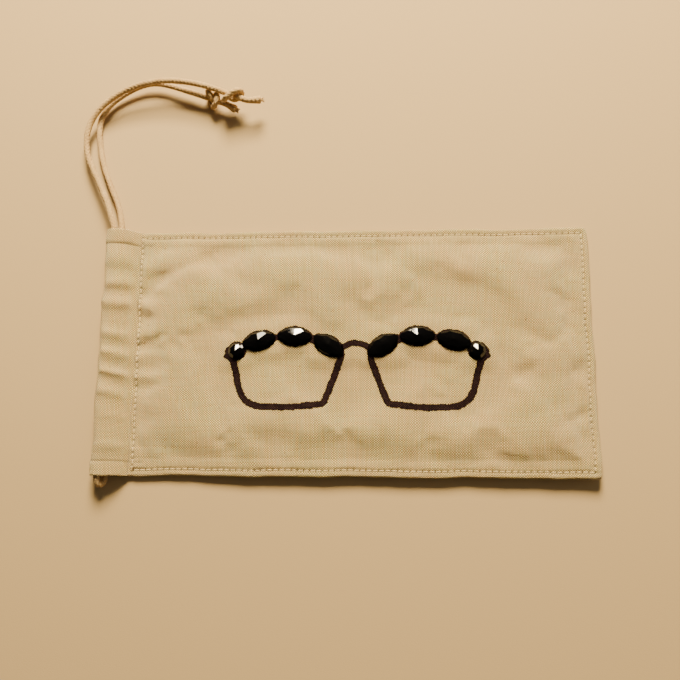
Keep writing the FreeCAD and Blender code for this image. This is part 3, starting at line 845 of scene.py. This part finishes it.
# The pen's spots beside the corner stone, which make its little point.
BLOTS = (
    (CORNER_X + 2.3, CORNER_Y - 0.4, 2.1), (CORNER_X + 3.9, CORNER_Y - 1.9, 1.0),
    (CORNER_X + 0.4, CORNER_Y - 2.4, 1.4),
)
ink_pieces = []
for side, mirror in (("left", -1), ("right", 1)):
    rim = corner_round(np.array([(MOTIF_X + mirror * x, y) for x, y in RIM]), RIM_CORNERS)
    blots = [(MOTIF_X + mirror * x, y, radius) for x, y, radius in BLOTS]
    stones = [stone_place(f"{side}_{place}_stone") for place in PLACES]
    piece = ink_film(f"{side}_rim_line", f"{side}_rim_ink", rim, INK_WIDTH, blots, stones)
    ink_pieces.append(piece)
share = np.linspace(-1, 1, 15)
arch = np.stack([MOTIF_X + 4.9 * share, 2.3 - 1.9 * share**2], axis=-1)
ink_pieces.append(ink_film("bridge_line", "bridge_ink", arch, INK_WIDTH * 0.92))


# ---------------------------------------------------------------- cord

CORD_RADIUS = 1.15
CORD_SIDES = 28
RING_STEP = 0.22
BRAID_STRANDS = 4
BRAID_PITCH = 1.55
FRONT_PIVOT = np.array(joint("front_end_swing")["pos_m"]) / MM
BACK_PIVOT = np.array(joint("back_end_swing")["pos_m"]) / MM
EXIT_Y = box_mm("drawstring_front_exit")[0][1]
FAR_Y = box_mm("drawstring_front_run")[0][1]
# How far the cord's turn bulges out at the far side, and how steeply the tails point down.
TURN_REACH = 2.6
TAIL_DROP = -0.12
WORN_LENGTH = 9.0
FIBRES, FIBRE_RADII, FIBRE_LOW = 30, (0.24, 0.07), 0.12
# A free end bends from just inside the casing to some way outside it.
BEND_BEFORE, BEND_AFTER = 1.8, 22


def braid_relief(line, radius):
    """Radius of each point of a cord: two sets of strands cross over and under each other."""
    travel = travelled(line)
    around = BRAID_STRANDS * np.arange(CORD_SIDES) / CORD_SIDES
    u = around + travel[:, None] / BRAID_PITCH
    v = around - travel[:, None] / BRAID_PITCH
    over = (np.floor(u) + np.floor(v)) % 2 < 1
    across = np.where(over, u, v) % 1
    along = np.where(over, v, u) % 1
    lump = np.sqrt(1 - 0.9 * (2 * across - 1) ** 2) * np.sin(math.pi * along) ** 0.4
    uneven = 0.03 * ripple(travel * 2.3, 71)[:, None] + 0.015 * random.standard_normal(u.shape)
    return radius * (0.8 + 0.22 * lump + uneven)


PLAN_STEP = 0.4


def heading_line(start, bends):
    """Level line whose heading in degrees is listed against the distance along it."""
    marks, headings = zip(*bends)
    travel = np.arange(0, marks[-1], PLAN_STEP)
    heading = np.radians(np.interp(travel, marks, headings))
    kernel = np.hanning(31) / np.hanning(31).sum()
    heading = np.convolve(np.pad(heading, 15, mode="edge"), kernel, mode="valid")
    steps = np.stack([np.cos(heading), np.sin(heading)], axis=-1) * PLAN_STEP
    return np.vstack([start, start + np.cumsum(steps, axis=0)])


def tight_knot():
    """Centre line of an overhand knot pulled tight, in cord diameters, from -X to +X.

    It starts as a loose knot. Each turn straightens the line a little and then pushes apart the
    stretches that are nearer than a diameter. Points within skip steps are neighbours on the cord.
    """
    t = np.linspace(-2.2, 2.2, 300)
    line = np.stack([(t**5 - 10 * t) / 8, (t**3 - 3 * t) * 0.75, (t**4 - 4 * t**2) * 0.5], axis=-1)
    anchor = np.array([8.0, 0, 0])
    line = np.vstack([-anchor, line, anchor])
    for spacing, turns in ((0.34, 1500), (0.17, 500)):
        line = even(line, spacing)
        skip = round(1.45 / spacing)
        for turn in range(turns):
            line[1:-1] += 0.45 * ((line[:-2] + line[2:]) / 2 - line[1:-1])
            gap = line[:, None] - line
            away = np.linalg.norm(gap, axis=-1) + 1e-9
            number = np.arange(len(line))
            close = (away < 1) & (np.abs(number[:, None] - number) >= skip)
            push = np.where(close, (1 - away) / 2 / away, 0)[:, :, None] * gap
            line[1:-1] += (0.7 * push.sum(axis=1))[1:-1]
            if turn % 20 == 19:
                line = even(line, spacing)
    return line


KNOT = tight_knot()
KNOT_SCALE = 1.06 * 2 * CORD_RADIUS
KNOT_REACH = 5.2


def knot_line(centre, heading, roll):
    """The knot's centre line, rolled about its length, with its ends along a heading."""
    near = KNOT * KNOT_SCALE
    middle = (near.min(axis=0) + near.max(axis=0)) / 2
    near = near[np.abs(near[:, 0] - middle[0]) < KNOT_REACH]
    roll, heading = math.radians(roll), math.radians(heading)
    y = near[:, 1] * math.cos(roll) - near[:, 2] * math.sin(roll)
    z = near[:, 1] * math.sin(roll) + near[:, 2] * math.cos(roll)
    x = near[:, 0] * math.cos(heading) - y * math.sin(heading)
    y = near[:, 0] * math.sin(heading) + y * math.cos(heading)
    line = np.stack([x, y, z], axis=-1)
    return line - (line[0] + line[-1]) / 2 + centre


def hermite(start, start_way, end, end_way, count=24):
    """Curve from start to end that sets out one way and comes in another."""
    share = np.linspace(0, 1, count)[:, None]
    length = np.linalg.norm(end - start)
    square, cube = share**2, share**3
    return (
        (2 * cube - 3 * square + 1) * start + (cube - 2 * square + share) * start_way * length
        + (3 * square - 2 * cube) * end + (cube - square) * end_way * length
    )


def way(line, first=0, last=1):
    """Direction from one point of a line to another."""
    return unit(line[last] - line[first])


def toward(heading, rise=0.0):
    """Direction of a heading in degrees."""
    angle = math.radians(heading)
    return np.array([math.cos(angle), math.sin(angle), rise])


def strand(pivot, bends, knot_height, sag, roll, tail_turn, tail_length):
    """Centre line of a free cord end: out of the casing, round the bend, knot and tail."""
    plan = heading_line(np.array([pivot[0], EXIT_Y]), bends)
    travel = travelled(plan)
    z = pivot[2] + (knot_height - pivot[2]) * smooth(travel, 30, 84) - sag * bell(travel - 42, 22)
    lead = np.column_stack([plan, z])
    heading = bends[-1][1]
    knot = knot_line(lead[-1] + toward(heading) * KNOT_REACH, heading, roll)
    join = hermite(lead[-1], way(lead, -2, -1), knot[0], way(knot), 8)
    out = toward(heading + tail_turn, TAIL_DROP)
    tail = hermite(knot[-1], way(knot, -2, -1), knot[-1] + out * tail_length, out)
    return even(np.vstack([lead, join[1:], knot[1:], tail[1:]]), RING_STEP)


def soften(line):
    """Evens out the kinks where stretches of a line meet."""
    for _ in range(6):
        line[1:-1] = 0.5 * line[1:-1] + 0.25 * (line[:-2] + line[2:])
    return line


def fray(line):
    """Loose fibres at the end of a cord."""
    tip, ahead = line[-1], way(line, -4, -1)
    side = unit(np.cross(ahead, [0, 0, 1.0]))
    up = np.cross(side, ahead)
    parts = []
    for number in range(FIBRES):
        angle = 2 * math.pi * number / FIBRES + random.uniform(-0.3, 0.3)
        reach = random.uniform(0.5, 1.4)
        spread = random.uniform(0.1, 0.5)
        out = side * math.cos(angle) + up * math.sin(angle) * 0.7
        start = tip - ahead * 0.8 + out * 0.6 * random.uniform(0.3, 1)
        end = tip + ahead * reach + out * (0.5 + spread * reach)
        end[2] = max(end[2], FIBRE_LOW)
        fibre = hermite(start, ahead, end, (ahead + out * random.uniform(-0.4, 1)) * 0.8, 9)
        fibre[:, 2] = np.maximum(fibre[:, 2], FIBRE_LOW)
        parts.append(tube_mesh(fibre, np.linspace(*FIBRE_RADII, 9), 6))
    return parts


def cord_radii(line):
    """Cord radius along its length, with a worn end that has opened a little."""
    travel = travelled(line)
    left = travel[-1] - travel
    opened = 0.05 * bell(left - WORN_LENGTH, 8) + 0.34 * (1 - smooth(left, 0.3, WORN_LENGTH / 2))
    return CORD_RADIUS * (1 + opened - 0.3 * (1 - smooth(left, 0, 0.4)))[:, None]


def cord(name, line, has_end=True):
    """Braided cord along a line, with a worn and frayed end unless it is cut off inside the hem."""
    line = soften(even(line, RING_STEP))
    base = cord_radii(line) if has_end else np.full((len(line), 1), CORD_RADIUS)
    radii = braid_relief(line, base)
    piece = make_tubes(name, [tube_mesh(line, radii, CORD_SIDES)] + (fray(line) if has_end else []))
    # Painted shade in the crevices between the braid's strands; on the loose fibres it comes to nothing.
    crevice = np.full(len(piece.data.vertices), 0.1)
    crevice[:radii.size] = np.clip((0.98 - radii / base) / 0.18, 0, 1).ravel()
    set_attribute(piece, "painted_shade", crevice)
    return piece


def bend_at(piece, first, second, pivot):
    """The cord bends softly where it leaves the casing."""
    start, end = pivot - (0, BEND_BEFORE, 0), pivot + (0, BEND_AFTER, 0)
    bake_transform(piece, first, second, tuple(start * MM), tuple(end * MM))


# Headings of the two cord ends in degrees, against the distance from the casing in millimetres.
FRONT_BENDS = (
    (0, 106), (18, 117), (30, 116), (40, 90), (48, 63), (56, 39), (66, 22), (76, 9), (88, -8),
    (105, -23),
)
BACK_BENDS = (
    (0, 92), (14, 116), (26, 111), (36, 100), (44, 95), (52, 57), (60, 34), (70, 20), (80, -18),
    (95, -21),
)
FRONT_KNOT_HEIGHT = box_mm("drawstring_front_end")[1][2] - 4.1
BACK_KNOT_HEIGHT = box_mm("drawstring_back_end")[1][2] - 3.7
front_line = strand(FRONT_PIVOT, FRONT_BENDS, FRONT_KNOT_HEIGHT, 1.5, 20, 24, 6.5)
back_line = strand(BACK_PIVOT, BACK_BENDS, BACK_KNOT_HEIGHT, 0.4, 140, -6, 5.5)
run_y = np.arange(FAR_Y, EXIT_Y, RING_STEP)
front_run, back_run = (
    np.array([pivot[0], 0, pivot[2]]) + np.outer(run_y, [0, 1, 0]) for pivot in (FRONT_PIVOT, BACK_PIVOT)
)
turn_angle = np.linspace(math.pi / 2, -math.pi / 2, 40)[:, None]
turn = (front_run[0] + back_run[0] + (front_run[0] - back_run[0]) * np.sin(turn_angle)) / 2
turn[:, 1:2] -= TURN_REACH * np.cos(turn_angle)

cord_front_run = cord("cord_front_run", front_run, has_end=False)
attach(cord_front_run, "front_run")
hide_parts("drawstring_front_run")
cord_front_end = cord("cord_front_end", front_line)
bend_at(cord_front_end, "front_exit", "front_end", FRONT_PIVOT)
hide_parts("drawstring_front_exit", "drawstring_front_end")
cord_back = cord("cord_back", np.vstack([turn[:-1], back_run, back_line[1:]]))
bend_at(cord_back, "back_run", "back_end", BACK_PIVOT)
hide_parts("drawstring_back_run", "drawstring_turn", "drawstring_back_end")


# ---------------------------------------------------------------- materials

# Colours as red, green and blue display values of 0 to 255. The tones for the gaps between threads, the
# threads of one set, the needle holes and creases, and the cord's crevices are painted shade.
TONES = {
    "canvas": (255, 235, 144), "canvas pale": (255, 249, 180), "canvas shaded threads": (148, 102, 48),
    "canvas broad": (236, 198, 136), "canvas gap shade": (100, 64, 30), "canvas mottle": (196, 164, 118),
    "needle hole": (56, 34, 16), "husk": (110, 70, 38),
    "thread": (206, 178, 120), "thread pale": (236, 212, 156),
    "cord": (160, 127, 80), "cord pale": (212, 182, 128), "cord broad": (166, 131, 82),
    "cord crevice shade": (118, 88, 54),
    "ink": (10, 5, 7), "ink pale": (29, 15, 18), "ink worn": (112, 82, 66),
    "stone": (6, 6, 7), "dust": (120, 112, 104),
    "glue": (220, 208, 186), "glue pale": (240, 234, 220), "floor": (184, 157, 112),
}


def color(name):
    """Linear colour of a tone."""
    channels = [value / 255 for value in TONES[name]]
    return (*[c / 12.92 if c < 0.04045 else ((c + 0.055) / 1.055) ** 2.4 for c in channels], 1)


class Nodes:
    """Short way to write a material. Values are numbers, colours or the outputs of other nodes."""

    def __init__(self, name):
        self.material = bpy.data.materials.new(name)
        self.material.use_nodes = True
        self.tree = self.material.node_tree
        self.tree.nodes.clear()
        self.shader = self.tree.nodes.new("ShaderNodeBsdfPrincipled")
        self.add("ShaderNodeOutputMaterial", {"Surface": self.shader.outputs[0]}, None)

    def feed(self, node, values):
        """Gives values to a node's inputs, in their order or by name."""
        for key, value in values.items() if isinstance(values, dict) else enumerate(values):
            if isinstance(value, bpy.types.NodeSocket):
                self.tree.links.new(value, node.inputs[key])
            else:
                node.inputs[key].default_value = value

    def add(self, kind, values=(), output=0, **settings):
        """One output of a new node."""
        node = self.tree.nodes.new(kind)
        for key, value in settings.items():
            setattr(node, key, value)
        self.feed(node, values)
        return None if output is None else node.outputs[output]

    def math(self, operation, first, second=0.0, third=0.0):
        return self.add("ShaderNodeMath", (first, second, third), operation=operation)

    def times(self, first, second):
        return self.math("MULTIPLY", first, second)

    def plus(self, first, second):
        return self.math("ADD", first, second)

    def either(self, share, first, second):
        """Second where share is 1, first where it is 0."""
        return self.plus(self.times(share, second), self.times(self.math("SUBTRACT", 1, share), first))

    def mix(self, share, first, second):
        first, second = (color(tone) if isinstance(tone, str) else tone for tone in (first, second))
        return self.add("ShaderNodeMix", {0: share, 6: first, 7: second}, 2, data_type="RGBA")

    def remap(self, value, low, high, to_low=0.0, to_high=1.0):
        values = (value, low, high, to_low, to_high)
        return self.add("ShaderNodeMapRange", values, interpolation_type="SMOOTHSTEP")

    def attribute(self, name, output="Fac"):
        return self.add("ShaderNodeAttribute", output=output, attribute_name=name)

    def place(self, scale=(1, 1, 1)):
        """Place on the object in millimetres, times a scale."""
        values = (self.add("ShaderNodeTexCoord", output="Object"), tuple(factor / MM for factor in scale))
        return self.add("ShaderNodeVectorMath", values, operation="MULTIPLY")

    def join(self, x, y, z=0.0):
        return self.add("ShaderNodeCombineXYZ", (x, y, z))

    def noise(self, vector, scale=1.0, detail=2.0, roughness=0.5):
        values = {"Vector": vector, "Scale": scale, "Detail": detail, "Roughness": roughness}
        return self.add("ShaderNodeTexNoise", values, "Fac")

    def bump(self, height, distance_mm, strength=1.0, **others):
        values = {"Height": height, "Strength": strength, "Distance": distance_mm * MM, **others}
        return self.add("ShaderNodeBump", values)

    def finish(self, tone, roughness, normal, **others):
        values = {"Base Color": tone, "Roughness": roughness, "Normal": normal}
        values.update((key.replace("_", " "), value) for key, value in others.items())
        self.feed(self.shader, values)
        return self.material


THREAD_SPACING = 0.45
THREAD_WANDER = 0.9


def weave(n):
    """Height of a plain weave, the tone of its single threads, and which set of threads is over."""
    x, y, _ = n.add("ShaderNodeSeparateXYZ", (n.attribute("rest_place", "Vector"),)).node.outputs
    wander_x = n.noise(n.join(n.times(x, 0.35), n.times(y, 0.05)), 1, 1)
    wander_y = n.noise(n.join(n.times(x, 0.05), n.times(y, 0.35), 7), 1, 1)
    u = n.math("DIVIDE", n.math("MULTIPLY_ADD", wander_x, THREAD_WANDER, x), THREAD_SPACING)
    v = n.math("DIVIDE", n.math("MULTIPLY_ADD", wander_y, THREAD_WANDER, y), THREAD_SPACING * 0.94)
    ridge_u, ridge_v = (
        n.math("ABSOLUTE", n.math("SINE", n.times(number, math.pi))) for number in (u, v)
    )
    number_u, number_v = n.math("FLOOR", u), n.math("FLOOR", v)
    over = n.math("ROUND", n.math("MODULO", n.plus(n.plus(number_u, number_v), 4000), 2))
    up_u = n.times(ridge_u, n.math("MULTIPLY_ADD", ridge_v, 0.5, 0.5))
    up_v = n.times(ridge_v, n.math("MULTIPLY_ADD", ridge_u, 0.5, 0.5))
    height = n.either(over, n.times(up_v, 0.5), up_u)
    streak_u = n.noise(n.join(n.times(number_u, 3.7), n.times(y, 0.07)), 1, 1)
    streak_v = n.noise(n.join(n.times(number_v, 3.7), n.times(x, 0.07), 5), 1, 1)
    return height, n.either(over, streak_v, streak_u), over


def canvas_material():
    n = Nodes("canvas")
    height, streak, over = weave(n)
    place = n.attribute("rest_place", "Vector")
    tone = n.mix(n.remap(streak, 0.25, 0.75), "canvas", "canvas pale")
    # Painted shade: where the second set of threads lies over, the cells are darkened as if less lit.
    tone = n.mix(n.times(n.math("SUBTRACT", 1, over), 0.9), tone, "canvas shaded threads")
    tone = n.mix(n.remap(n.noise(place, 0.05, 4), 0.32, 0.68, 0.0, 0.5), tone, "canvas broad")
    # Painted shade in the hollows between threads, where the weave is low.
    tone = n.mix(n.remap(height, 0.0, 0.7, 0.92, 0.0), tone, "canvas gap shade")
    mottle = n.remap(n.noise(place, 1.3, 3, 0.7), 0.35, 0.75, 0.0, 0.22)
    tone = n.mix(mottle, tone, "canvas mottle")
    # Painted shade in the needle holes and creases.
    tone = n.mix(n.attribute("painted_shade"), tone, "needle hole")
    speck = n.remap(n.noise(place, 0.9, 1), 0.735, 0.77)
    tone = n.mix(n.times(speck, 0.65), tone, "husk")
    slub = n.noise(place, 0.8, 2)
    normal = n.bump(n.plus(height, n.times(streak, 0.3)), 0.26)
    normal = n.bump(slub, 0.16, 0.5, Normal=normal)
    fuzz = n.remap(n.noise(place, 4, 2), 0.3, 0.7, 0.82, 0.98)
    return n.finish(tone, fuzz, normal, Sheen_Weight=0.25, Sheen_Roughness=0.45, Specular_IOR_Level=0.2)


def thread_material():
    n = Nodes("thread")
    fibres = n.noise(n.place(), 7, 2, 0.6)
    tone = n.mix(n.remap(fibres, 0.3, 0.7), "thread", "thread pale")
    return n.finish(tone, 0.7, n.bump(fibres, 0.04, 0.6), Sheen_Weight=0.3, Specular_IOR_Level=0.35)


def cord_material():
    n = Nodes("cord")
    place = n.place()
    fibres = n.noise(place, 5, 3, 0.65)
    broad = n.noise(place, 0.35, 2)
    tone = n.mix(n.remap(fibres, 0.3, 0.7), "cord", "cord pale")
    tone = n.mix(n.remap(broad, 0.35, 0.7, 0, 0.5), tone, "cord broad")
    # Painted shade in the braid's crevices.
    tone = n.mix(n.remap(n.attribute("painted_shade"), 0.1, 0.9, 0.0, 0.4), tone, "cord crevice shade")
    return n.finish(tone, n.remap(fibres, 0.3, 0.7, 0.7, 0.92), n.bump(fibres, 0.06, 0.8),
                    Sheen_Weight=0.15, Sheen_Roughness=0.4, Specular_IOR_Level=0.2)


def ink_material():
    n = Nodes("ink")
    height, streak, _ = weave(n)
    place = n.attribute("rest_place", "Vector")
    tone = n.mix(n.remap(streak, 0.3, 0.7), "ink", "ink pale")
    worn = n.times(n.remap(height, 0.6, 1.0), n.remap(n.noise(place, 1.1, 2), 0.3, 0.65))
    tone = n.mix(n.times(worn, 0.6), tone, "ink worn")
    return n.finish(tone, n.remap(height, 0, 1, 0.95, 0.7), n.bump(height, 0.1, 0.9),
                    Specular_IOR_Level=0.12)


def stone_material():
    n = Nodes("stone")
    dust = n.remap(n.noise(n.place(), 2.2, 4, 0.7), 0.6, 0.8)
    tone = n.mix(n.times(dust, 0.05), "stone", "dust")
    scratch = n.noise(n.place((1, 9, 1)), 1.4, 2)
    roughness = n.plus(n.remap(scratch, 0.5, 0.8, 0.03, 0.12), n.times(dust, 0.1))
    return n.finish(tone, roughness, n.bump(scratch, 0.003, 0.3), Specular_IOR_Level=0.35,
                    Coat_Weight=0.25, Coat_Roughness=0.03)


def glue_material():
    n = Nodes("glue")
    cloud = n.noise(n.place(), 1.2, 3)
    tone = n.mix(cloud, "glue", "glue pale")
    return n.finish(tone, n.remap(cloud, 0.3, 0.7, 0.15, 0.4), n.bump(cloud, 0.05, 0.4),
                    Transmission_Weight=0.5, IOR=1.48)


WARM_LIGHT, PALE_LIGHT, ROOM_LIGHT = (1.0, 0.845, 0.585), (1.0, 0.88, 0.72), (1.0, 0.88, 0.75, 1)
# What the camera sees past the floor's edge, and how much light the room gives to everything else.
FAR_GLOW, ROOM_GLOW = 0.5, 0.07


def floor_material():
    """Plain floor that fades to the room's glow far away, for the camera only."""
    n = Nodes("floor")
    place = n.place()
    grain = n.noise(place, 2.2, 3, 0.6)
    away = n.add("ShaderNodeVectorMath", (place,), "Value", operation="LENGTH")
    seen = n.add("ShaderNodeLightPath", output="Is Camera Ray")
    glow = n.times(seen, n.remap(away, 350, 1300, 0, FAR_GLOW))
    return n.finish(color("floor"), 0.9, n.bump(grain, 0.12, 0.35), Specular_IOR_Level=0.15,
                    Emission_Color=ROOM_LIGHT, Emission_Strength=glow)


def paint(pieces, material):
    for piece in pieces:
        piece.data.materials.clear()
        piece.data.materials.append(material)


paint(canvas_pieces, canvas_material())
paint(thread_pieces, thread_material())
paint((cord_front_run, cord_front_end, cord_back), cord_material())
paint(ink_pieces, ink_material())
STONE, GLUE = stone_material(), glue_material()
for name in (*STONES, "stone_glue"):
    for place in frame["nodes"][name].material_slots:
        place.material = GLUE if name == "stone_glue" else STONE


# ---------------------------------------------------------------- floor, light and camera

FLOOR_REACH, FLOOR_LEVEL = 1400, -0.03
corners = np.array([(-1, -1, 0), (1, -1, 0), (1, 1, 0), (-1, 1, 0)]) * FLOOR_REACH + (0, 0, FLOOR_LEVEL)
floor = make_piece("floor", corners, [[0, 1, 2, 3]])
paint([floor], floor_material())

# Name, place, width and height (m), power, colour, and whether it lights surfaces or reflections.
# The stones reflect two small lights of their own, as the key light would glare in all of them.
LIGHTS = (
    ("key", (0.0, 0.55, 0.42), (0.24, 0.26), 21.3, WARM_LIGHT, "surfaces"),
    ("glint", (0.0, 0.528, 0.403), (0.085, 0.12), 9, WARM_LIGHT, "reflections"),
    ("strip", (-0.157, 0.528, 0.403), (0.024, 0.12), 0.5, WARM_LIGHT, "reflections"),
    ("side", (0.8, 0.1, 0.5), (1.2, 1.2), 2.9, PALE_LIGHT, "surfaces"),
)
for name, place, size, power, tint, lights in LIGHTS:
    light = bpy.data.lights.new(name, "AREA")
    light.shape = "RECTANGLE"
    light.size, light.size_y = size
    light.energy = power
    light.color = tint
    lamp = bpy.data.objects.new(name, light)
    lamp.location = place
    lamp.rotation_euler = (-Vector(place)).to_track_quat("-Z", "Y").to_euler()
    lamp.visible_glossy = lights == "reflections"
    lamp.visible_diffuse = lights == "surfaces"
    bpy.context.scene.collection.objects.link(lamp)

world = bpy.data.worlds.new("room")
world.use_nodes = True
bpy.context.scene.world = world
tree = world.node_tree
backdrop = tree.nodes["Background"]
backdrop.inputs["Color"].default_value = ROOM_LIGHT
camera_ray = tree.nodes.new("ShaderNodeLightPath").outputs["Is Camera Ray"]
level = tree.nodes.new("ShaderNodeMapRange")
level.inputs["To Min"].default_value = ROOM_GLOW
level.inputs["To Max"].default_value = FAR_GLOW
tree.links.new(camera_ray, level.inputs["Value"])
tree.links.new(level.outputs[0], backdrop.inputs["Strength"])
world.cycles_visibility.glossy = False

CAMERA_PLACE = (0.0151, -0.0476, 0.2635)
CAMERA_TILT = (11.1, 3.48, 0.47)
CAMERA_LENS = 38.6
camera = bpy.data.objects.new("camera", bpy.data.cameras.new("camera"))
camera.data.lens = CAMERA_LENS
camera.data.clip_start = 0.02
camera.location = CAMERA_PLACE
camera.rotation_euler = [math.radians(angle) for angle in CAMERA_TILT]
bpy.context.scene.collection.objects.link(camera)
bpy.context.scene.camera = camera
